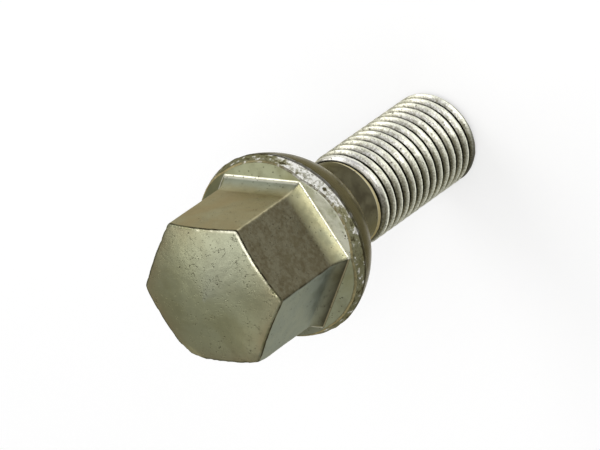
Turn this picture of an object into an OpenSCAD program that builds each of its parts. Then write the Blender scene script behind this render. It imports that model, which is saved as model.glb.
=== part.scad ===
// Wheel bolt, forged and rolled in one piece: a hexagon head with flared flats, a round collar,
// a ball seat and a threaded shank. The bolt stands on its thread end, the axis along +Z.
// All sizes are in millimetres. The thread is drawn as its full outer cylinder.

/* [Thread] */
// Outer diameter of the thread
thread_d = 12; // [10:0.5:14]
// Pitch of the thread
thread_pitch = 1.5; // [1:0.25:1.75]
// Length of the thread from the end face
thread_l = 21.9; // [14:0.2:24.6]
// Radial size of the bevel at the start of the thread
lead_bevel = 0.5; // [0.3:0.1:1.6]

/* [Seat] */
// Radius of the ball seat
ball_r = 12; // [11.5:0.1:14]
// Length of the shank below the ball seat
shank_l = 26.2; // [23:0.1:40]

/* [Collar] */
// How far the collar's edge lies inside the ball's widest circle
collar_inset = 0.3; // [0.1:0.05:1]
// Height from the ball seat to the root line of the hexagon
band_h = 1.9; // [1.4:0.1:4]
// Draft of the round band of the collar, in degrees
band_draft = 18; // [5:1:20]
// Slope of the flat segments between the hexagon and the band, in degrees
segment_angle = 18; // [10:1:22]

/* [Head] */
// Width across the flats of the hexagon
hex_af = 17; // [16:0.1:17.4]
// Height of the hexagon above its root line, measured at its corners
hex_h = 12.9; // [8:0.1:18]
// How far the hexagon's corners are taken back by their rounding
corner_trim = 0.08; // [0.04:0.02:0.2]
// Radius of the sweep at the root of each flat
flare_r = 4.5; // [3.5:0.1:6]
// Outward reach of the sweep at the root line
flare_out = 0.84; // [0.4:0.02:1]
// Radius of the domed end of the head
dome_r = 26; // [18:0.5:60]

/* [Hidden] */
$fn = 96;

// Thread
thread_r = thread_d / 2;
neck_r = thread_r - 0.3248 * thread_pitch;
end_r = thread_r - lead_bevel;

// Seat, from the neck to the collar
collar_r = ball_r - collar_inset;
ball_z = shank_l + sqrt(ball_r * ball_r - neck_r * neck_r);
band_z = ball_z - sqrt(ball_r * ball_r - collar_r * collar_r);

// Collar and flats of the hexagon
flat_y = hex_af / 2;
root_y = flat_y + flare_out;
root_z = band_z + band_h;
band_r = collar_r - band_h * tan(band_draft);
sweep_h = sqrt(flare_r * flare_r - (flare_r - flare_out) * (flare_r - flare_out));
sweep_z = root_z + sweep_h;

// Corners of the hexagon, which sweep out as far as the flats make them
corner_r = flat_y / cos(30) - corner_trim;
root_r = root_y / cos(30) - corner_trim;
corner_out = root_r - corner_r;
corner_flare_r = (corner_out * corner_out + sweep_h * sweep_h) / (2 * corner_out);

// Domed end
corner_z = root_z + hex_h;
dome_z = corner_z - sqrt(dome_r * dome_r - corner_r * corner_r);
top_z = dome_z + dome_r;

// Helpers for the outlines
over = 1;
reach = collar_r + over;
segment_z = root_z - (reach - root_y) * tan(segment_angle);

wheel_bolt_colour = [0.56, 0.56, 0.50];

// Mirrors its child for side -1 and leaves it for side 1
module on_side(side) {
  if (side < 0) {
    mirror([1, 0]) children();
  } else {
    children();
  }
}

// Everything outside a wall above the root line, where the wall sweeps out to its foot
module outside_wall(wall, foot, sweep_r) {
  intersection() {
    union() {
      translate([wall, sweep_z])
        square([reach + over, top_z + 2 * over - sweep_z]);
      translate([wall + sweep_r, sweep_z])
        circle(r = sweep_r);
      translate([foot, root_z])
        square([reach + over, sweep_z - root_z + over]);
    }
    translate([wall - over, root_z])
      square([reach + 2 * over, top_z + 3 * over - root_z]);
  }
}

// What is cut away outside one flat: the swept wall and the sloping segment below it
module flat_cut() {
  outside_wall(flat_y, root_y, flare_r);
  polygon([
    [root_y, root_z],
    [reach + over, root_z],
    [reach + over, segment_z - over * tan(segment_angle)],
  ]);
}

// One pair of opposite flats seen from the side
module side_outline() {
  difference() {
    translate([-reach, ball_z - ball_r])
      square([2 * reach, top_z + over - ball_z + ball_r]);
    for (side = [-1, 1]) {
      on_side(side) flat_cut();
    }
  }
}

// The hexagon with its swept roots and the six collar segments
module hexagon() {
  intersection_for(turn = [30, 90, 150]) {
    rotate([0, 0, turn])
      rotate([90, 0, 0])
        linear_extrude(height = 2 * reach, center = true)
          side_outline();
  }
}

// Half section of the ball seat, turned about the axis
module seat_section() {
  intersection() {
    translate([0, ball_z])
      circle(r = ball_r);
    translate([0, ball_z - ball_r])
      square([ball_r, band_z - ball_z + ball_r]);
  }
}

// Half section of the band, the rounded corners and the domed end, turned about the axis
module head_section() {
  difference() {
    intersection() {
      translate([0, dome_z])
        circle(r = dome_r);
      polygon([
        [0, band_z - over],
        [neck_r, band_z - over],
        [collar_r, band_z],
        [band_r, root_z],
        [reach, root_z],
        [reach, top_z + over],
        [0, top_z + over],
      ]);
    }
    outside_wall(corner_r, root_r, corner_flare_r);
  }
}

// Half section of the shank, turned about the axis: thread, neck and lead bevel
module shank_section() {
  polygon([
    [0, 0],
    [end_r, 0],
    [thread_r, lead_bevel],
    [thread_r, thread_l],
    [neck_r, thread_l + thread_r - neck_r],
    [neck_r, ball_z],
    [0, ball_z],
  ]);
}

module wheel_bolt() {
  color(wheel_bolt_colour) {
    intersection() {
      hexagon();
      rotate_extrude() {
        seat_section();
        head_section();
      }
    }
    rotate_extrude() shank_section();
  }
}

wheel_bolt();
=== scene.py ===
"""Wheel bolt on a white floor: one forged and rolled mesh, its plated steel, the studio and the camera."""

import math
import random

import bmesh
import bpy
import numpy as np
from mathutils import Matrix, Vector, noise


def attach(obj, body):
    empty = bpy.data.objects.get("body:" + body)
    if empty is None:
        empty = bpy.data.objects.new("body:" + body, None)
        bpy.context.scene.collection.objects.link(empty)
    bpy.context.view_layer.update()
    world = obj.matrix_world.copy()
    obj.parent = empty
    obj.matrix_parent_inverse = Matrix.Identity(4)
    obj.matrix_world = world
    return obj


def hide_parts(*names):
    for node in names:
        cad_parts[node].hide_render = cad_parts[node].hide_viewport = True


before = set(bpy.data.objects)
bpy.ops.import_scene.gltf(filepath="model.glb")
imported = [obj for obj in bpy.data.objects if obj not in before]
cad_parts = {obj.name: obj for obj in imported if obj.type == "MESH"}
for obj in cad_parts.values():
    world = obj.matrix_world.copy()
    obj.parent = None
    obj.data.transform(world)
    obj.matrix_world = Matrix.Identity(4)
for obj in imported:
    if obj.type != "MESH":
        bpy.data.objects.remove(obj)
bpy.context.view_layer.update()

MM = 0.001
COS_30 = math.cos(math.radians(30))

# Driving sizes, in millimetres, as in the solid
THREAD_R = 6.0
PITCH = 1.5
THREAD_L = 21.9
LEAD_BEVEL = 0.5
BALL_R = 12.0
SHANK_L = 26.2
COLLAR_INSET = 0.3
BAND_H = 1.9
BAND_DRAFT = math.radians(18)
SEGMENT_ANGLE = math.radians(18)
HEX_AF = 17.0
HEX_H = 12.9
CORNER_TRIM = 0.08
FLARE_R = 4.5
FLARE_OUT = 0.84
DOME_R = 26.0

# Sizes that follow from them
NECK_R = THREAD_R - 0.3248 * PITCH
END_R = THREAD_R - LEAD_BEVEL
COLLAR_R = BALL_R - COLLAR_INSET
BALL_Z = SHANK_L + math.sqrt(BALL_R**2 - NECK_R**2)
BAND_Z = BALL_Z - math.sqrt(BALL_R**2 - COLLAR_R**2)
FLAT_Y = HEX_AF / 2
ROOT_Y = FLAT_Y + FLARE_OUT
ROOT_Z = BAND_Z + BAND_H
FLARE_ANGLE = math.acos(1 - FLARE_OUT / FLARE_R)
SWEEP_Z = ROOT_Z + FLARE_R * math.sin(FLARE_ANGLE)
CORNER_R = FLAT_Y / COS_30 - CORNER_TRIM
DOME_Z = ROOT_Z + HEX_H - math.sqrt(DOME_R**2 - CORNER_R**2)

# Thread form: depth of the groove, half of a crest, and the width of a flank along the axis
GROOVE_DEPTH = 0.6134 * PITCH
CREST_HALF = PITCH / 16
FLANK_W = GROOVE_DEPTH * math.tan(math.radians(30))

# Where the smooth neck begins, and the length over which the thread's envelope falls to the neck's radius
# there, because the last crest is rolled lower
NECK_END = THREAD_L - 0.18
RUN_OUT = 1.7

# Course of the groove, in turns: where it starts below the end, where it ends and how long it lifts out
START_TURN = 0.74
LAST_TURN = THREAD_L / PITCH + START_TURN
LIFT_TURNS = 0.35

# Roundings of the edges. A rounding takes at most a share of the face beside it.
DOME_EDGE = 0.24
CREASE_EDGE = 0.13
BAND_EDGE = 0.16
NECK_FILLET = 0.5
EDGE_SHARE = 0.35

# The corner rounding as the power of the mean of the flats
CORNER_POWER = math.log(2) / math.log(FLAT_Y / COS_30 / CORNER_R)

# Mesh density round the axis: columns in one sixth of the turn, and how much they crowd at the corners
SECTOR_COLUMNS = 38
CROWDING = 0.8

# Rows of the mesh, from the middle of the head's end down to the neck
DOME_ROWS = 26
DOME_CROWDING = 1.25
RIM_ROWS = 6
FLAT_ROWS = 16
SWEEP_ROWS = (*np.linspace(0, 0.94, 12), 0.985)
CREASE_ROWS = 7
SEGMENT_ROWS = 9
BAND_EDGE_ROWS = 5
BAND_ROWS = 12
SEAT_ROWS = 28
FILLET_ROWS = 7
NECK_ROWS = 8

# Rings of the thread's end face, as shares of its radius
END_RINGS = (0.96, 0.6, 0.3, 0)

# Points closer than this in metres are joined, and edges bent by more than these degrees are drawn sharp
JOIN_DISTANCE = 1e-7
SHARP_FROM = 38

# Parts of the skin that are regions of the finish
REGIONS = (
    "sweep", "crease", "rim", "band", "band_edge", "low_edge", "segment", "end", "seat", "neck", "thread",
)

# Tones of the six flats, counted from +X, that paint how each flat is lit: a brown stain that is also painted
# shade, and a cool grey that is warm where below 0. Both fade down the sweep, as a power.
FLAT_BROWN_AND_SHADE = (0.5, 0.75, 0.35, 0.1, 1.0, 0.1)
FLAT_COOL = (0.2, -0.4, 0.5, 1.0, 0.0, -0.9)
STAIN_AND_SHADE_FADE = 1.6

# Warm tone of the end face, which sets in towards its edge as a power
END_WARM = 4

# Painted highlight and painted shade on the roots of the six flats and on the segments below them, from
# painted shade at -1 to painted highlight at 1
ROOT_TONE = (0.0, -0.5, 0.4, -0.9, 1.0, 0.5)
SEGMENT_TONE = (0.0, -0.4, 0.3, 0.05, 0.8, -0.15)

# How the tone of a root sets in along the sweep, as a power: early below 1, late above 1
ROOT_SPREAD = (1.0, 1.0, 1.0, 0.7, 1.3, 0.3)

# How much that tone fades again towards the crease, and how cool the root turns there
ROOT_FADE = (0.0, 0.0, 0.0, 0.0, 0.0, 1.6)
ROOT_COOL = (0.0, 0.0, 0.0, 0.0, 0.0, 0.7)

# How much the crease's painted highlight reaches into the sweep, and the shares of the sweep between which it
# sets in
CREASE_WIDE = (0.0, 0.0, 0.0, 0.0, 0.0, 0.6)
CREASE_FROM = (0.88, 0.94)

# Ring of the ball seat that is painted bright as a painted highlight, as the middle angle and the half width
# in degrees
SEAT_GLINT_RING = (39.2, 4.4)

# Shares of the groove's depth where rows run along a flank, and the pairs of them between which the groove
# takes its painted shade, the flank its painted shade and the crest its painted highlight
FLANK_ROWS = (0, 0.05, 0.3, 0.55, 0.62, 0.85, 1)
GROOVE_DARK = (0.55, 0.62)
FLANK_SHADE = (0.05, 0.3)
CREST_BRIGHT = (0.3, 0.05)

# Between these heights the last groove loses its painted shade, at this rate, and its flank takes a painted
# highlight down to this share of the depth
LAST_GROOVE = (THREAD_L - 1.6, THREAD_L - 1.3)
LAST_GROOVE_FADE = 3
LAST_FLANK_DEPTH = 0.8

# Heights between which the line of painted shade and the ring of painted highlight begin that end the thread
# at the neck
NECK_LINE = (THREAD_L - 1.0, THREAD_L - 0.9)
NECK_RING = (THREAD_L - 0.6, THREAD_L - 0.52)

# The painted shade of the groove reaches further up its flanks on these two sides, by these shares of the
# depth.
# On the first of them the crest's painted highlight is weaker by a share.
GROOVE_SIDES = ((0, 32), (-142, 34))
GROOVE_SPREADS = (0.22, 0.07)
CREST_DULL = 0.6

# The start of the thread is dark below the second of these heights, and less so up to the first
START_DARK = (0.95, 0.7)

# Directions of the band's painted highlight and of the painted highlight on the end face's edge, in degrees,
# with their half widths
BAND_BRIGHT = (-65, 30)
EDGE_BRIGHT = (-68, 22)

# Rounding of the end face's edge, in shares from its inside to its outside: worn nicks with painted highlight
# inside, painted shade outside
RIM_LIGHT = (0.6, 0.4)
RIM_DARK = (0.35, 0.5)

# On this side all of that rounding takes the painted shade
RIM_BACK = (92, 85)

# Corners between two flats that are drawn as a line of painted shade and as a line of painted highlight,
# which fade late down the sweep
CORNER_DARK = (-120, 0.9)
CORNER_PALE = (-60, 0.7)
CORNER_FADE = 3

# The lit side, on which the thread and the ball seat are painted silvery and lighter as a painted highlight;
# elsewhere they are olive
LIT_SIDE = (-62, 51)

# Unevenness of the forged skin, the band and the thread: height, patch size and place in the noise of each
# layer, and how far all of it is sunk. The ball seat has less of it by a share.
FORGED_LAYERS = ((0.03, 3.0, (0, 0, 0)), (0.012, 0.8, (0, 0, 0)))
FORGED_SUNK = 0.006
BAND_LAYERS = ((0.05, 0.9, (7, 3, 1)), (0.035, 0.32, (0, 0, 0)))
BAND_SUNK = 0.015
THREAD_LAYERS = ((0.03, 0.7, (2, 8, 5)),)
SEAT_SMOOTH = 0.7

# Small dents along the edge of the end face: how far in from the flats, how wide and how deep they are, and
# how far their centres lie below the face
DENTS = 46
DENT_SEED = 12
DENT_INSET = (0, 0.25)
DENT_REACH = (0.25, 0.6)
DENT_DEPTH = (0.03, 0.08)
DENT_DROP = 0.08

# Corners of the end face that are worn round: direction in degrees, depth and reach in millimetres
WORN_CORNERS = ((120, 0.26, 2.2), (180, 0.15, 1.6))


def column_angles():
    """The angle of each column, from a corner on +X once round; the last column repeats the first."""
    v = np.arange(6 * SECTOR_COLUMNS + 1) / SECTOR_COLUMNS
    return math.radians(60) * (v - CROWDING * np.sin(2 * np.pi * v) / (2 * np.pi))


def flat_cosine(angles):
    """Turns a flat's distance from the axis into a radius: distance / cosine, rounded at the corners."""
    total = np.zeros_like(angles)
    for k in range(6):
        facing = np.maximum(np.cos(angles - math.radians(30 + 60 * k)), 0)
        total += facing**CORNER_POWER
    return total ** (1 / CORNER_POWER)


ANGLES = column_angles()
COSINE = flat_cosine(ANGLES)


class Skin:
    """Rows of points from the middle of the head's end down to the middle of the thread end."""

    def __init__(self):
        self.radii = []
        self.heights = []
        self.parts = []
        self.stains_and_shade = []
        self.depths = []
        self.shares = []

    def row(self, radius, height, part, stain_and_shade=0.0, depth=0.0, share=0.0):
        self.radii.append(np.broadcast_to(radius, ANGLES.shape).astype(float))
        self.heights.append(np.broadcast_to(height, ANGLES.shape).astype(float))
        self.parts.append(part)
        self.stains_and_shade.append(stain_and_shade)
        self.depths.append(np.broadcast_to(depth, ANGLES.shape).astype(float))
        self.shares.append(share)

    def bend(self, start, corner, end, steps, part):
        """A rounded edge: a parabola from start to end that the corner pulls out, all (radius, height)."""
        for t in np.linspace(0, 1, steps):
            weights = ((1 - t) ** 2, 2 * t * (1 - t), t**2)
            place = (sum(w * p[k] for w, p in zip(weights, (start, corner, end))) for k in (0, 1))
            self.row(*place, part, share=t)

    def straight(self, start, end, steps, part, stain_and_shade=0.0):
        """Rows from start to end without either, crowded towards both."""
        for t in np.arange(1, steps + 1) / (steps + 1):
            s = 0.5 - 0.5 * math.cos(math.pi * t)
            self.row(*(start[k] + s * (end[k] - start[k]) for k in (0, 1)), part, stain_and_shade)


def towards(start, end, distance):
    """The point at the distance along the line from start to end, or at a share of a short line."""
    length = np.hypot(end[0] - start[0], end[1] - start[1])
    share = np.minimum(distance / np.maximum(length, 1e-6), EDGE_SHARE)
    return start[0] + share * (end[0] - start[0]), start[1] + share * (end[1] - start[1])


def dome_height(radius):
    return DOME_Z + np.sqrt(DOME_R**2 - radius**2)


def add_head_end(skin):
    """The domed end face and its rounded edge; returns the point where the flats go on."""
    edge = FLAT_Y / COSINE
    inner = edge - DOME_EDGE
    for t in np.linspace(0, 1, DOME_ROWS + 1)[:-1]:
        radius = inner * (1 - (1 - t) ** DOME_CROWDING)
        skin.row(radius, dome_height(radius), "end", share=t**END_WARM)
    wall = (edge, dome_height(edge) - DOME_EDGE)
    skin.bend((inner, dome_height(inner)), (edge, dome_height(edge)), wall, RIM_ROWS, "rim")
    return wall


def sweep_point(share):
    """A point of the sweep, from its top at 0 to its foot at 1."""
    t = share * (FLARE_ANGLE - CREASE_EDGE / FLARE_R)
    return (FLAT_Y + FLARE_R * (1 - math.cos(t))) / COSINE, SWEEP_Z - FLARE_R * math.sin(t)


def add_flats(skin, wall):
    """The six flats with the sweep at their roots; returns the foot of the sweep."""
    sweep_top = (FLAT_Y / COSINE, np.full_like(ANGLES, SWEEP_Z))
    skin.straight(wall, sweep_top, FLAT_ROWS, "flat", stain_and_shade=1.0)
    for share in SWEEP_ROWS:
        skin.row(*sweep_point(share), "sweep", stain_and_shade=(1 - share) ** STAIN_AND_SHADE_FADE, share=share)
    return sweep_point(1)


def add_segments(skin, foot):
    """The crease at the root line, the six sloping segments and the edge of the band."""
    root = (ROOT_Y / COSINE, np.full_like(ANGLES, ROOT_Z))
    slope, draft = math.tan(SEGMENT_ANGLE), math.tan(BAND_DRAFT)
    rise = ROOT_Y - COSINE * (COLLAR_R + draft * BAND_Z)
    edge_z = (ROOT_Z + slope * rise) / (1 - COSINE * slope * draft)
    edge = (COLLAR_R - (edge_z - BAND_Z) * draft, edge_z)
    low = (np.full_like(ANGLES, COLLAR_R), np.full_like(ANGLES, BAND_Z))
    inner, outer = towards(root, edge, CREASE_EDGE), towards(edge, root, BAND_EDGE)
    skin.bend(foot, root, inner, CREASE_ROWS, "crease")
    skin.straight(inner, outer, SEGMENT_ROWS, "segment")
    below = towards(edge, low, BAND_EDGE)
    skin.bend(outer, edge, below, BAND_EDGE_ROWS, "band_edge")
    return below, low


def add_band(skin, below, low):
    """The rough round band and the edge where the ball seat begins; returns the seat's first angle."""
    above = towards(low, below, BAND_EDGE)
    skin.straight(below, above, BAND_ROWS, "band")
    first = math.acos(COLLAR_R / BALL_R) + BAND_EDGE / BALL_R
    seat = (BALL_R * math.cos(first), BALL_Z - BALL_R * math.sin(first))
    skin.bend(above, low, seat, BAND_EDGE_ROWS, "low_edge")
    return first


def add_seat(skin, first):
    """The ball seat, the fillet under it and the smooth neck."""
    last = math.acos(NECK_R / BALL_R) - NECK_FILLET / BALL_R
    for t in np.linspace(first, last, SEAT_ROWS + 2)[1:-1]:
        # A ring of painted highlight on the seat
        seat_glint = math.exp(-((math.degrees(t) - SEAT_GLINT_RING[0]) / SEAT_GLINT_RING[1]) ** 4)
        skin.row(BALL_R * math.cos(t), BALL_Z - BALL_R * math.sin(t), "seat", share=seat_glint)
    start = (BALL_R * math.cos(last), BALL_Z - BALL_R * math.sin(last))
    end = (NECK_R, SHANK_L - NECK_FILLET)
    skin.bend(start, (NECK_R, SHANK_L), end, FILLET_ROWS, "neck")
    skin.straight(end, (NECK_R, NECK_END), NECK_ROWS, "neck")


def thread_form(height, turn):
    """Radius of the rolled thread and the share of the groove's depth; turn is the share of a full turn."""
    passes = height / PITCH + START_TURN - turn
    nearest = np.round(passes)
    off_root = PITCH * np.abs(passes - nearest)
    lift = np.clip(1 - (LAST_TURN - nearest - turn) / LIFT_TURNS, 0, 1)
    depth = np.maximum(np.clip((PITCH / 2 - CREST_HALF - off_root) / FLANK_W, 0, 1) - lift, 0)
    radius = THREAD_R - GROOVE_DEPTH * depth
    radius = np.minimum(radius, NECK_R + (THREAD_R - NECK_R) * (NECK_END - height) / RUN_OUT)
    return np.minimum(radius, END_R + height), depth


def add_thread(skin):
    """Rows that climb with the helix along crests, flanks and roots; they are held to the thread's length."""
    turn = ANGLES / (2 * np.pi)
    down = CREST_HALF + FLANK_W * np.array(FLANK_ROWS)
    offsets = (*down, *(PITCH - down[::-1]))
    for turns in range(math.ceil(LAST_TURN), -1, -1):
        for offset in offsets:
            height = PITCH * (turns + turn + 0.5 - START_TURN) - offset
            height = np.clip(height, 0, NECK_END)
            radius, depth = thread_form(height, turn)
            skin.row(radius, height, "thread", depth=depth)


def add_thread_end(skin):
    """The flat end face."""
    for share in END_RINGS:
        skin.row(END_R * share, 0, "thread")


def make_skin():
    skin = Skin()
    wall = add_head_end(skin)
    foot = add_flats(skin, wall)
    below, low = add_segments(skin, foot)
    first = add_band(skin, below, low)
    add_seat(skin, first)
    add_thread(skin)
    add_thread_end(skin)
    return skin


def skin_mesh(skin):
    """One closed mesh from the rows, with doubled points joined."""
    radii, heights = np.array(skin.radii) * MM, np.array(skin.heights) * MM
    points = np.stack((radii * np.cos(ANGLES), radii * np.sin(ANGLES), heights), axis=-1)
    rows, columns = radii.shape
    index = np.arange(rows * columns).reshape(rows, columns)
    quads = np.stack((index[:-1, :-1], index[1:, :-1], index[1:, 1:], index[:-1, 1:]), axis=-1)
    mesh = bpy.data.meshes.new("wheel_bolt_skin")
    mesh.from_pydata(points.reshape(-1, 3).tolist(), [], quads.reshape(-1, 4).tolist())
    for name, weights in finish_weights(skin).items():
        layer = mesh.attributes.new(name, "FLOAT", "POINT")
        layer.data.foreach_set("value", np.broadcast_to(weights, radii.shape).ravel())
    join = bmesh.new()
    join.from_mesh(mesh)
    bmesh.ops.remove_doubles(join, verts=join.verts, dist=JOIN_DISTANCE)
    join.to_mesh(mesh)
    join.free()
    mesh.polygons.foreach_set("use_smooth", [True] * len(mesh.polygons))
    mesh.set_sharp_from_angle(angle=math.radians(SHARP_FROM))
    return mesh


def share_of(values, limits):
    """How far the values lie between the two limits, from 0 to 1 and beyond."""
    return (values - limits[0]) / (limits[1] - limits[0])


def ramp(values, limits):
    """0 before the first limit and 1 from the second on; the limits may fall."""
    return np.clip(share_of(values, limits), 0, 1)


def bump_at(place):
    """A soft bump round the bolt, 1 in the direction of the place and 0 away from it, for every column."""
    centre, half_width = (math.radians(v) for v in place)
    off = (ANGLES - centre + np.pi) % (2 * np.pi) - np.pi
    return np.exp(-((off / half_width) ** 2))


def per_flat(values):
    """The value of the flat that each column lies on."""
    return np.array(values)[np.minimum((ANGLES / math.radians(60)).astype(int), 5)]


def finish_weights(skin):
    """How much each point belongs to the regions that the finish tells apart, and to its painted light and
    shade.
    """
    weights = {name: np.array([[float(part == name)] for part in skin.parts]) for name in REGIONS}
    weights["band"] = weights["band"] + weights["band_edge"] + weights["low_edge"]
    weights["seat"] = weights["seat"] + weights["neck"]
    stains_and_shade, shares = np.array(skin.stains_and_shade)[:, None], np.array(skin.shares)[:, None]
    add_flat_weights(weights, stains_and_shade, shares)
    add_edge_weights(weights, stains_and_shade, shares)
    add_thread_weights(weights, np.array(skin.heights), np.array(skin.depths))
    # Painted highlight on the band's lit side
    weights["band_highlight"] = weights["band"] * bump_at(BAND_BRIGHT)
    # A ring of painted highlight on the ball seat
    weights["seat_glint"] = weights["seat"] * shares * (1 - weights["neck"])
    # The lit side, where colours are painted lighter as a painted highlight
    weights["lit_side"] = bump_at(LIT_SIDE)
    return weights


def add_flat_weights(weights, stains_and_shade, shares):
    """Stain with painted shade on the flats, painted light and shade on their roots and segments, and the
    warm end face.
    """
    # Brown stain that is also painted shade, and cool and warm tones per flat that paint how each flat is lit
    cool = stains_and_shade * per_flat(FLAT_COOL)
    weights["brown_stain_and_shade"] = stains_and_shade * per_flat(FLAT_BROWN_AND_SHADE)
    weights["cool"] = np.maximum(cool, 0) + weights["sweep"] * shares * per_flat(ROOT_COOL)
    weights["warm"] = np.maximum(-cool, 0) + weights["end"] * shares * (1 - bump_at(LIT_SIDE))
    # Painted highlight and painted shade on the roots of the flats, the crease and the segments
    roots = weights["sweep"] * shares ** per_flat(ROOT_SPREAD) * (1 - shares * per_flat(ROOT_FADE))
    roots = roots + weights["crease"]
    tones = roots * per_flat(ROOT_TONE) + weights["segment"] * per_flat(SEGMENT_TONE)
    weights["root_and_segment_light"], weights["root_and_segment_shade"] = np.maximum(tones, 0), np.maximum(-tones, 0)
    # The crease's painted highlight, strongest in the middle of the bend
    wide = weights["sweep"] * ramp(shares, CREASE_FROM) * per_flat(CREASE_WIDE)
    weights["crease"] = weights["crease"] * np.sin(np.pi * shares) + wide


def add_edge_weights(weights, stains_and_shade, shares):
    """Worn nicks with painted highlight and painted shade on the end face's edge, and painted lines at two
    hexagon corners.
    """
    back = bump_at(RIM_BACK)
    # Worn nicks with painted highlight inside the end face's rounded edge, and painted shade outside it
    weights["rim_wear_and_highlight"] = weights["rim"] * ramp(shares, RIM_LIGHT) * (1 - back)
    weights["rim_shade"] = weights["rim"] * np.maximum(ramp(shares, RIM_DARK), back)
    weights["rim_highlight"] = weights["rim_wear_and_highlight"] * bump_at(EDGE_BRIGHT)
    # Painted shade along one corner of the hexagon and a painted highlight along another
    lines = np.minimum(CORNER_FADE * stains_and_shade, 1)
    weights["corner_shade"] = lines * bump_at(CORNER_DARK)
    weights["corner_highlight"] = lines * bump_at(CORNER_PALE)


def add_thread_weights(weights, heights, depths):
    """Painted highlight on the thread's crests and painted shade on its flanks and grooves, told apart by
    their depth.
    """
    thread = weights["thread"]
    last = ramp(heights, LAST_GROOVE)
    # Painted shade in the grooves and on flanks off the lit side; painted highlight on crests and the last
    # flank
    reach = depths + sum(spread * bump_at(side) for side, spread in zip(GROOVE_SIDES, GROOVE_SPREADS))
    weights["groove_shade"] = thread * np.clip(share_of(reach, GROOVE_DARK) - LAST_GROOVE_FADE * last, 0, 1)
    weights["flank_shade"] = thread * ramp(depths, FLANK_SHADE) * (1 - bump_at(LIT_SIDE))
    weights["crest_highlight"] = thread * ramp(depths, CREST_BRIGHT) * (1 - CREST_DULL * bump_at(GROOVE_SIDES[0]))
    weights["last_flank_highlight"] = thread * last * bump_at(LIT_SIDE) * (depths < LAST_FLANK_DEPTH)


def weights_of(mesh, name):
    values = np.zeros(len(mesh.vertices))
    mesh.attributes[name].data.foreach_get("value", values)
    return values


def unevenness(places, layers, sunk=0.0):
    """Height of the layers of noise at places, all in millimetres."""
    heights = np.full(len(places), -sunk)
    for height, size, offset in layers:
        heights += height * np.array([noise.noise((Vector(p) + Vector(offset)) / size) for p in places])
    return heights


def wear(mesh):
    """Pushes points along their normals: unevenness, small dents along the edge and worn corners."""
    places, normals = np.zeros(3 * len(mesh.vertices)), np.zeros(3 * len(mesh.vertices))
    mesh.vertices.foreach_get("co", places)
    mesh.vertex_normals.foreach_get("vector", normals)
    places, normals = places.reshape(-1, 3) / MM, normals.reshape(-1, 3)
    thread = weights_of(mesh, "thread")
    forged = (1 - thread) * (1 - SEAT_SMOOTH * weights_of(mesh, "seat"))
    push = forged * unevenness(places, FORGED_LAYERS, FORGED_SUNK)
    push += weights_of(mesh, "band") * unevenness(places, BAND_LAYERS, BAND_SUNK)
    push += thread * unevenness(places, THREAD_LAYERS)
    for centre, reach, depth in edge_dents():
        gap = np.linalg.norm(places - centre, axis=1) / reach
        push -= depth * np.maximum(1 - gap**2, 0) ** 2
    places += normals * push[:, None]
    places[:, 2] = np.maximum(places[:, 2], 0)
    mesh.vertices.foreach_set("co", (places * MM).ravel())
    mesh.update()


def edge_dents():
    """Small dents and worn corners of the end face: centre, reach and depth in millimetres."""
    rng = random.Random(DENT_SEED)
    dents = []
    for _ in range(DENTS):
        angle = rng.uniform(0, 2 * math.pi)
        radius = float(np.interp(angle, ANGLES, FLAT_Y / COSINE)) - rng.uniform(*DENT_INSET)
        centre = on_end_face(angle, radius, DENT_DROP)
        dents.append((centre, rng.uniform(*DENT_REACH), rng.uniform(*DENT_DEPTH)))
    for angle, depth, reach in WORN_CORNERS:
        dents.append((on_end_face(math.radians(angle), CORNER_R), reach, depth))
    return dents


def on_end_face(angle, radius, drop=0.0):
    """The point at the angle and radius that lies the drop below the domed end face."""
    return np.array((radius * math.cos(angle), radius * math.sin(angle), dome_height(radius) - drop))


class Nodes:
    """A material's node tree, with short calls for the nodes that it needs."""

    def __init__(self, material):
        material.use_nodes = True
        self.tree = material.node_tree
        self.tree.nodes.clear()

    def new(self, kind, **settings):
        node = self.tree.nodes.new(kind)
        for name, value in settings.items():
            setattr(node, name, value)
        return node

    def feed(self, socket, value):
        if isinstance(value, bpy.types.NodeSocket):
            self.tree.links.new(value, socket)
        else:
            socket.default_value = value

    def math(self, operation, a, b=0.0):
        node = self.new("ShaderNodeMath", operation=operation)
        self.feed(node.inputs[0], a)
        self.feed(node.inputs[1], b)
        return node.outputs[0]

    def times(self, a, b):
        return self.math("MULTIPLY", a, b)

    def plus(self, a, b):
        return self.math("ADD", a, b)

    def stretch(self, value, low, high, out_low=0.0, out_high=1.0):
        """Maps low to high smoothly to the output range, and holds what lies outside."""
        node = self.new("ShaderNodeMapRange", interpolation_type="SMOOTHSTEP")
        for socket, number in zip(node.inputs, (value, low, high, out_low, out_high)):
            self.feed(socket, number)
        return node.outputs[0]

    def mix(self, share, first, second):
        node = self.new("ShaderNodeMix", data_type="RGBA")
        sockets = (node.inputs["Factor"], node.inputs["A"], node.inputs["B"])
        for socket, value in zip(sockets, (share, first, second)):
            self.feed(socket, value)
        return node.outputs["Result"]

    def bump(self, height, distance, below=None):
        """A normal from a height; the distance is in millimetres."""
        node = self.new("ShaderNodeBump")
        node.inputs["Distance"].default_value = distance * MM
        self.feed(node.inputs["Height"], height)
        if below is not None:
            self.feed(node.inputs["Normal"], below)
        return node.outputs[0]


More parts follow.
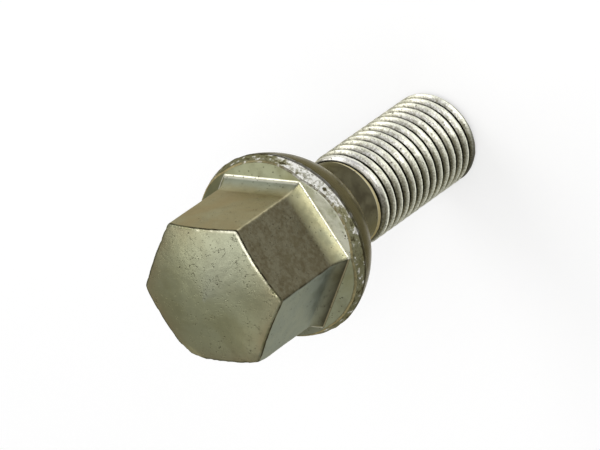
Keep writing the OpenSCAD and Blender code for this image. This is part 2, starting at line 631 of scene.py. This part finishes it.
class Coat(Nodes):
    """The plating's nodes: masks from the mesh, shared noises and the colour that is painted so far."""

    def __init__(self, material):
        super().__init__(material)
        self.place = self.new("ShaderNodeTexCoord").outputs["Object"]
        split = self.new("ShaderNodeSeparateXYZ")
        self.feed(split.inputs[0], self.place)
        self.height = split.outputs["Z"]
        self.masks = {}
        self.clouds = self.noise(6.0, detail=4, distortion=0.6)
        self.patches = self.noise(1.6, detail=5, roughness=0.6, offset=(11, 3, 5))
        self.mottle = self.noise(0.55, detail=4, roughness=0.65, offset=(6, 2, 9))
        self.grit = self.noise(0.22, detail=3, offset=(2, 9, 4))
        self.flakes = self.noise(1.1, detail=4, roughness=0.65, offset=(3, 3, 7), scale=(1, 1, 1.6))
        olive, pale = colour(136, 134, 98), colour(158, 161, 134)
        self.base = self.mix(self.stretch(self.clouds, 0.35, 0.65), olive, pale)

    def moved(self, offset=(0, 0, 0), scale=(1, 1, 1)):
        """Object coordinates in millimetres, scaled and shifted."""
        node = self.new("ShaderNodeMapping")
        self.feed(node.inputs["Vector"], self.place)
        node.inputs["Location"].default_value = offset
        node.inputs["Scale"].default_value = [s / MM for s in scale]
        return node.outputs[0]

    def noise(self, size, detail=3.0, roughness=0.55, distortion=0.0, offset=(0, 0, 0), scale=(1, 1, 1)):
        """Cloudy noise with patches of about the size, in millimetres."""
        node = self.new("ShaderNodeTexNoise")
        self.feed(node.inputs["Vector"], self.moved(offset, scale))
        node.inputs["Scale"].default_value = 1 / size
        node.inputs["Detail"].default_value = detail
        node.inputs["Roughness"].default_value = roughness
        node.inputs["Distortion"].default_value = distortion
        return node.outputs["Fac"]

    def cells(self, size, offset=(0, 0, 0)):
        """Distance to the nearest of scattered points, which lie about the size apart."""
        node = self.new("ShaderNodeTexVoronoi")
        self.feed(node.inputs["Vector"], self.moved(offset))
        node.inputs["Scale"].default_value = 1 / size
        return node.outputs["Distance"]

    def mask(self, name):
        """One of the mesh's weights, which one node reads."""
        if name not in self.masks:
            self.masks[name] = self.new("ShaderNodeAttribute", attribute_name=name).outputs["Fac"]
        return self.masks[name]

    def past(self, heights):
        """0 before the first of two heights in millimetres and 1 from the second on."""
        return self.stretch(self.height, *(z * MM for z in heights))

    def over(self, share, tone):
        """Paints a share of the tone over the colour so far."""
        self.base = self.mix(share, self.base, tone)


def colour(red, green, blue):
    """A colour as an eye reads it, from 0 to 255, made linear."""
    return (*(((c / 255 + 0.055) / 1.055) ** 2.4 if c > 10 else c / 3295 for c in (red, green, blue)), 1.0)


def grey(value):
    return (value, value, value, 1)


def paint_head(n):
    """The end face, the flats with stain and painted shade, painted light on roots and segments, and two
    corner lines.
    """
    end, segment, cool, warm = map(n.mask, ("end", "segment", "cool", "warm"))
    n.over(n.stretch(n.patches, 0.42, 0.75, 0.0, 0.35), colour(112, 106, 76))
    n.over(n.times(end, n.stretch(n.clouds, 0.3, 0.7, 0.5, 0.85)), colour(167, 168, 133))
    # Painted highlight: the end face is lighter on the lit side
    n.over(n.times(n.times(end, n.mask("lit_side")), 0.5), colour(168, 171, 154))
    n.over(n.times(segment, 0.4), colour(140, 142, 110))
    # Brown stain mixed with painted shade on the flats, then the cool and warm tones that paint how each flat
    # is lit
    brown_stain_and_shade = n.times(n.mask("brown_stain_and_shade"), n.stretch(n.patches, 0.2, 0.5, 0.8, 1.0))
    stain_and_shade = n.stretch(n.plus(n.mottle, n.times(n.patches, 1.5)), 1.0, 1.5)
    n.over(brown_stain_and_shade, n.mix(stain_and_shade, colour(88, 81, 61), colour(112, 108, 88)))
    n.over(n.times(cool, 0.9), colour(138, 147, 138))
    n.over(n.times(warm, n.stretch(n.clouds, 0.35, 0.65, 0.9, 0.5)), colour(154, 141, 110))
    # Painted highlight on roots and segments, then painted shade
    pale = n.mix(segment, colour(216, 210, 166), colour(202, 202, 188))
    n.over(n.times(n.mask("root_and_segment_light"), n.stretch(n.patches, 0.35, 0.6, 0.35, 0.9)), pale)
    n.over(n.times(n.mask("root_and_segment_shade"), 0.94), colour(52, 47, 32))
    # Painted shade along one corner of the hexagon, then a painted highlight along another
    n.over(n.times(n.mask("corner_shade"), n.stretch(n.patches, 0.6, 0.4, 0.5, 0.95)), colour(40, 35, 24))
    n.over(n.times(n.mask("corner_highlight"), n.stretch(n.patches, 0.4, 0.6, 0.2, 0.7)), colour(214, 206, 166))


def paint_band(n):
    """The rough band, with painted highlight on its lit side; returns how much each place belongs to its
    white flakes.
    """
    band, band_highlight = n.mask("band"), n.mask("band_highlight")
    # Band darker away from its painted highlight; its white flakes are grain, gathered on the lit side as a
    # painted highlight
    n.over(n.times(band, 0.7), n.mix(band_highlight, colour(94, 90, 62), colour(168, 163, 126)))
    white = n.times(band, n.stretch(n.plus(n.flakes, n.times(band_highlight, 0.26)), 0.57, 0.7))
    n.over(white, n.mix(n.stretch(n.mottle, 0.36, 0.56), colour(170, 168, 150), colour(255, 254, 248)))
    n.over(n.times(band, n.stretch(n.flakes, 0.44, 0.34)), colour(76, 71, 48))
    return white


def paint_thread(n):
    """The grainy thread: painted highlight on crests and lit side, painted shade in grooves, its dark start
    and neck end.
    """
    thread, lit_side = n.mask("thread"), n.mask("lit_side")
    grains = n.stretch(n.grit, 0.34, 0.66)
    silver = n.mix(grains, colour(204, 201, 191), colour(255, 254, 252))
    olive = n.mix(grains, colour(122, 117, 82), colour(218, 213, 174))
    # Silvery on the lit side as a painted highlight, olive elsewhere; then painted shade on flanks off the
    # lit side
    n.over(thread, n.mix(lit_side, olive, silver))
    n.over(n.times(n.mask("flank_shade"), 0.55), colour(70, 66, 44))
    n.over(n.times(thread, n.stretch(n.mottle, 0.46, 0.66, 0.0, 0.5)), colour(136, 131, 100))
    streaks = n.stretch(n.noise(0.9, detail=3, scale=(0.6, 0.6, 7)), 0.5, 0.62, 0.0, 0.4)
    n.over(n.times(thread, streaks), colour(136, 134, 108))
    # Painted highlight on the crests and on the last flank
    n.over(n.times(n.mask("crest_highlight"), n.stretch(n.grit, 0.36, 0.56, 0.55, 0.95)), colour(249, 250, 232))
    n.over(n.times(n.mask("last_flank_highlight"), n.stretch(n.grit, 0.34, 0.5, 0.4, 0.9)), colour(255, 253, 250))
    # Painted shade in the grooves
    n.over(n.mask("groove_shade"), colour(20, 18, 12))
    # Painted shade line of the last groove, then a pale ring of painted highlight, lighter on the lit side
    ring = n.mix(lit_side, colour(150, 138, 98), colour(214, 204, 162))
    n.over(n.times(thread, n.past(NECK_LINE)), n.mix(n.past(NECK_RING), colour(20, 18, 12), ring))
    n.over(n.times(n.past(START_DARK), 0.8), colour(52, 48, 36))


def paint_seat(n):
    """The ball seat, darkened as painted shade and lighter on the lit side, the neck, and a painted highlight
    ring.
    """
    # Painted shade: the ball seat is dark, and lighter on the lit side as a painted highlight
    ball = n.mix(n.mask("lit_side"), colour(50, 46, 33), colour(88, 82, 64))
    neck = n.mix(n.stretch(n.clouds, 0.4, 0.6), colour(62, 57, 43), colour(92, 88, 68))
    n.over(n.times(n.mask("seat"), 0.96), n.mix(n.mask("neck"), ball, neck))
    # Painted highlight: a bright ring on the ball seat
    n.over(n.mask("seat_glint"), colour(222, 212, 164))


def paint_edges(n):
    """Painted highlight on the crease, painted light and shade on the band's two edges and the end face's
    rounded edge.
    """
    lit_side = n.mask("lit_side")
    # Painted highlight along the crease, golden where the root takes painted shade
    crease = n.mix(n.mask("root_and_segment_shade"), colour(246, 245, 232), colour(188, 174, 128))
    n.over(n.times(n.mask("crease"), 0.8), crease)
    # Painted highlight and shade along the band's upper edge: golden away from the lit side, dark on it
    line = n.mix(lit_side, colour(186, 172, 126), colour(88, 82, 60))
    n.over(n.times(n.mask("band_edge"), n.stretch(n.patches, 0.35, 0.6, 0.3, 0.9)), line)
    # Painted shade along the edge between the band and the seat
    n.over(n.times(n.mask("low_edge"), 0.85), colour(44, 39, 26))
    # Worn nicks on the end face's edge, lighter on the lit side, with its painted highlight
    beads = n.times(n.mask("rim_wear_and_highlight"), n.stretch(n.mottle, 0.5, 0.6, 0.1, 0.9))
    beads = n.math("MINIMUM", n.plus(beads, n.mask("rim_highlight")), 0.95)
    n.over(beads, n.mix(lit_side, colour(160, 150, 112), colour(240, 238, 214)))
    # Painted shade on the outside of the end face's edge
    n.over(n.times(n.mask("rim_shade"), n.stretch(n.flakes, 0.62, 0.42, 0.7, 1.0)), colour(42, 36, 24))


def paint_marks(n):
    """Pits, specks and curled scratches on the end face and the brown flats; returns them together."""
    pits = n.stretch(n.cells(0.9, offset=(4, 1, 8)), 0.06, 0.16, 1.0, 0.0)
    pits = n.times(pits, n.stretch(n.patches, 0.46, 0.55))
    specks = n.stretch(n.cells(0.5, offset=(1, 7, 3)), 0.08, 0.2, 1.0, 0.0)
    specks = n.times(specks, n.stretch(n.clouds, 0.46, 0.54))
    curls = n.noise(1.1, detail=3, roughness=0.6, distortion=0.3, offset=(9, 5, 6))
    curls = n.stretch(n.math("ABSOLUTE", n.math("SUBTRACT", curls, 0.5)), 0.004, 0.02, 1.0, 0.0)
    curls = n.times(curls, n.stretch(n.mottle, 0.45, 0.53))
    curls = n.times(curls, n.stretch(n.patches, 0.48, 0.56, 0.15, 1.0))
    curls = n.times(curls, n.plus(n.mask("end"), n.times(n.mask("brown_stain_and_shade"), 0.6)))
    specks = n.math("MAXIMUM", specks, curls)
    n.over(n.times(pits, 0.75), colour(66, 60, 44))
    n.over(n.times(specks, 0.6), colour(68, 63, 45))
    return n.plus(pits, specks)


def plated_steel():
    """Satin olive-grey plating: flats with stain and painted shade, a rough mottled band, a seat in painted
    shade, a bright thread.
    """
    material = bpy.data.materials.new("plated_steel")
    n = Coat(material)
    paint_head(n)
    white = paint_band(n)
    paint_thread(n)
    paint_seat(n)
    paint_edges(n)
    marks = paint_marks(n)

    rough = n.stretch(n.patches, 0.35, 0.7, 0.3, 0.42)
    rough = n.plus(rough, n.times(n.mask("band"), 0.12))
    rough = n.math("SUBTRACT", rough, n.times(n.mask("seat"), 0.14))

    normal = n.bump(n.noise(0.9, detail=4, roughness=0.6, offset=(1, 5, 2)), 0.03)
    normal = n.bump(n.grit, 0.006, normal)
    normal = n.bump(n.times(n.mask("band"), n.flakes), 0.25, normal)
    normal = n.bump(n.times(marks, -1), 0.03, normal)

    shader = n.new("ShaderNodeBsdfPrincipled")
    n.feed(shader.inputs["Metallic"], n.math("SUBTRACT", 0.8, n.times(white, 0.8)))
    shader.inputs["IOR"].default_value = 1.5
    shader.inputs["Specular Tint"].default_value = colour(190, 184, 160)
    n.feed(shader.inputs["Base Color"], n.base)
    n.feed(shader.inputs["Roughness"], rough)
    n.feed(shader.inputs["Normal"], normal)
    out = n.new("ShaderNodeOutputMaterial")
    n.feed(out.inputs["Surface"], shader.outputs[0])
    return material


def make_bolt():
    mesh = skin_mesh(make_skin())
    wear(mesh)
    mesh.materials.append(plated_steel())
    bolt = bpy.data.objects.new("wheel_bolt_forged", mesh)
    bpy.context.collection.objects.link(bolt)
    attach(bolt, "root")
    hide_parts("wheel_bolt")


FLOOR_SIZE = 8.0
FLOOR_WHITE = 0.64
FLOOR_SHADE = 0.42
FLOOR_BOUNCE = 0.5
FLOOR_DROP = 0.00002


def white_floor():
    """Seen white, also in the metal, with the bolt's shadow; other light meets a plain pale surface."""
    material = bpy.data.materials.new("white_floor")
    n = Nodes(material)
    ray = n.new("ShaderNodeLightPath")
    seen = n.math("MAXIMUM", ray.outputs["Is Camera Ray"], ray.outputs["Is Glossy Ray"])
    seen = n.math("MAXIMUM", seen, ray.outputs["Is Transmission Ray"])
    shade = n.new("ShaderNodeBsdfDiffuse")
    shade.inputs["Color"].default_value = grey(FLOOR_SHADE)
    glow = n.new("ShaderNodeEmission")
    glow.inputs["Strength"].default_value = FLOOR_WHITE
    lit = n.new("ShaderNodeAddShader")
    n.feed(lit.inputs[0], shade.outputs[0])
    n.feed(lit.inputs[1], glow.outputs[0])
    plain = n.new("ShaderNodeBsdfDiffuse")
    plain.inputs["Color"].default_value = grey(FLOOR_BOUNCE)
    choice = n.new("ShaderNodeMixShader")
    for socket, value in zip(choice.inputs, (seen, plain.outputs[0], lit.outputs[0])):
        n.feed(socket, value)
    out = n.new("ShaderNodeOutputMaterial")
    n.feed(out.inputs["Surface"], choice.outputs[0])
    return material


def make_floor():
    half = FLOOR_SIZE / 2
    mesh = bpy.data.meshes.new("floor")
    corners = [(x, y, -FLOOR_DROP) for x, y in ((-half, -half), (half, -half), (half, half), (-half, half))]
    mesh.from_pydata(corners, [], [(0, 1, 2, 3)])
    mesh.materials.append(white_floor())
    floor = bpy.data.objects.new("floor", mesh)
    bpy.context.collection.objects.link(floor)


WORLD_GREY = 0.3


def make_world():
    world = bpy.data.worlds.new("studio")
    world.use_nodes = True
    world.node_tree.nodes["Background"].inputs["Color"].default_value = grey(WORLD_GREY)
    bpy.context.scene.world = world


def direction(azimuth, elevation):
    """Unit vector towards a place round the bolt. Azimuth 0 is +X, 90 is +Y; both in degrees."""
    a, e = math.radians(azimuth), math.radians(elevation)
    return Vector((math.cos(a) * math.cos(e), math.sin(a) * math.cos(e), math.sin(e)))


BOLT_MIDDLE = Vector((0, 0, 0.036))
LAMP_DISTANCE = 0.6

# Name, azimuth and elevation in degrees, width and height in metres, and radiance of each lamp
LAMPS = (
    ("overhead", -75, 74, 0.45, 0.45, 1.6),
    ("key", 12, 34, 0.3, 0.3, 3.0),
    ("right_low", 5, 7.5, 0.35, 0.15, 1.2),
    ("camera_side", -87, 55, 0.1, 0.1, 12.0),
    ("front_low", -87, 16, 0.35, 0.2, 2.6),
    ("back", 45, 57, 0.35, 0.35, 1.3),
    ("back_left", 140, 45, 0.3, 0.3, 0.5),
)


def softbox(name, azimuth, elevation, width, height, radiance):
    """A rectangular lamp that faces the bolt; radiance 1 is as bright as a white surface."""
    data = bpy.data.lights.new(name, "AREA")
    data.shape = "RECTANGLE"
    data.size, data.size_y = width, height
    data.energy = radiance * math.pi * width * height
    lamp = bpy.data.objects.new(name, data)
    towards_lamp = direction(azimuth, elevation)
    lamp.location = BOLT_MIDDLE + LAMP_DISTANCE * towards_lamp
    lamp.rotation_euler = towards_lamp.to_track_quat("Z", "Y").to_euler()
    bpy.context.collection.objects.link(lamp)


# The photograph's view: direction of the camera, how far it is turned, and the point in the picture's middle
CAMERA_AZIMUTH = -86.99
CAMERA_ELEVATION = 48.03
CAMERA_TURN = -125.226
CAMERA_DISTANCE = 0.812
CAMERA_AIM = Vector((0.66, 1.22, 28.31)) * MM
PIXELS_PER_MM = 8.387
PICTURE_WIDTH = 600
SENSOR_WIDTH = 36
CLIP_END = 20


def make_camera():
    data = bpy.data.cameras.new("camera")
    data.sensor_width = SENSOR_WIDTH
    data.lens = PIXELS_PER_MM * CAMERA_DISTANCE / MM / PICTURE_WIDTH * SENSOR_WIDTH
    data.clip_end = CLIP_END
    camera = bpy.data.objects.new("camera", data)
    back = direction(CAMERA_AZIMUTH, CAMERA_ELEVATION)
    place = Matrix.Translation(CAMERA_AIM + CAMERA_DISTANCE * back)
    facing = back.to_track_quat("Z", "Y").to_matrix().to_4x4()
    camera.matrix_world = place @ facing @ Matrix.Rotation(math.radians(CAMERA_TURN), 4, "Z")
    bpy.context.collection.objects.link(camera)
    bpy.context.scene.camera = camera


make_bolt()
make_floor()
make_world()
for lamp_row in LAMPS:
    softbox(*lamp_row)
make_camera()
bpy.context.scene.view_settings.view_transform = "Standard"
